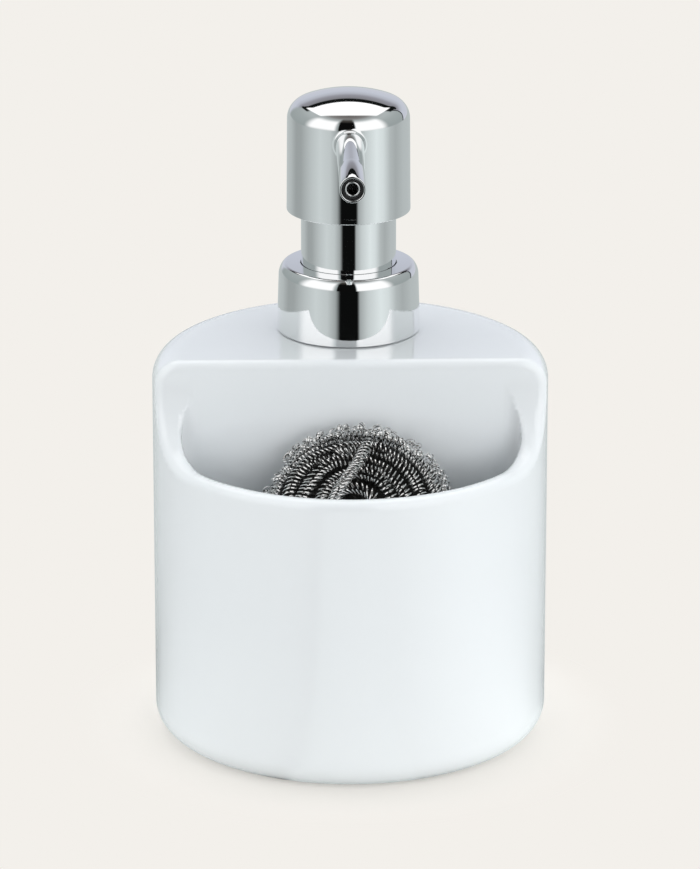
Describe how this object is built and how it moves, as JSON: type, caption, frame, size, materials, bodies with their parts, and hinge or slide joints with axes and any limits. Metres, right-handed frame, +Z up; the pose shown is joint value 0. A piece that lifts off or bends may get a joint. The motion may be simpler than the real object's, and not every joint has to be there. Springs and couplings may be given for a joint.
{
  "type": "soap pump caddy",
  "caption": "Round white ceramic soap dispenser with a chrome pump on its deck and an open front pocket that holds a wire scourer.",
  "frame": {"origin": "centre of the round base, on the face of the foot ring that the body stands on", "axes": "+Z up along the round body's axis, -Y towards the front where the pocket and the spout face, +X to the right seen from the front"},
  "size_m": [0.11, 0.11, 0.1787],
  "materials": {
    "white_glaze": "gloss",
    "chrome_plate": "polished",
    "natural_plastic": "satin",
    "black_plastic": "satin",
    "sealing_rubber": "matte",
    "spring_steel": "satin",
    "scourer_wire": "gloss",
    "scourer_filling": "matte"
  },
  "bodies": {
    "body": {"ceramic_body": "white_glaze", "mouth_washer": "sealing_rubber", "screw_neck": "natural_plastic"},
    "pump": {"pump_washer": "sealing_rubber", "pump_housing": "natural_plastic", "guide_cap": "natural_plastic", "neck_sleeve": "chrome_plate", "dip_tube": "natural_plastic", "return_spring": "spring_steel"},
    "collar": {"collar_shell": "chrome_plate", "collar_core": "natural_plastic"},
    "plunger": {"piston_stem": "natural_plastic", "piston_seal": "sealing_rubber"},
    "head": {"head_shell": "chrome_plate", "head_core": "natural_plastic", "nozzle_liner": "black_plastic"},
    "inlet_valve": {"inlet_ball": "spring_steel"},
    "outlet_valve": {"outlet_ball": "spring_steel"},
    "scourer": {"scourer_core": "scourer_filling", "scourer_strand": "scourer_wire"}
  },
  "joints": [
    {"name": "pump_rise", "type": "slide", "parent": "body", "child": "pump", "axis": [0, 0, 1], "range_m": [0, 0.0045]},
    {"name": "collar_turn", "type": "hinge", "parent": "pump", "child": "collar", "pos_m": [0, 0.021, 0.12], "axis": [0, 0, 1], "range_deg": [0, 540]},
    {"name": "head_press", "type": "slide", "parent": "pump", "child": "plunger", "axis": [0, 0, -1], "range_m": [0, 0.0125], "stiffness_N_per_m": 500, "springref_m": -0.008, "deforming": ["return_spring"]},
    {"name": "head_swivel", "type": "hinge", "parent": "plunger", "child": "head", "pos_m": [0, 0.021, 0.16], "axis": [0, 0, 1], "continuous": true},
    {"name": "inlet_lift", "type": "slide", "parent": "pump", "child": "inlet_valve", "axis": [0, 0, 1], "range_m": [0, 0.00145]},
    {"name": "outlet_lift", "type": "slide", "parent": "plunger", "child": "outlet_valve", "axis": [0, 0, 1], "range_m": [0, 0.00125]},
    {"name": "scourer_lift", "type": "slide", "parent": "body", "child": "scourer", "axis": [0, 0, 1], "range_m": [0, 0.048]}
  ],
  "couplings": [
    {"joint": "collar_turn", "follows": "pump_rise", "rad_per_m": 2094.4}
  ]
}
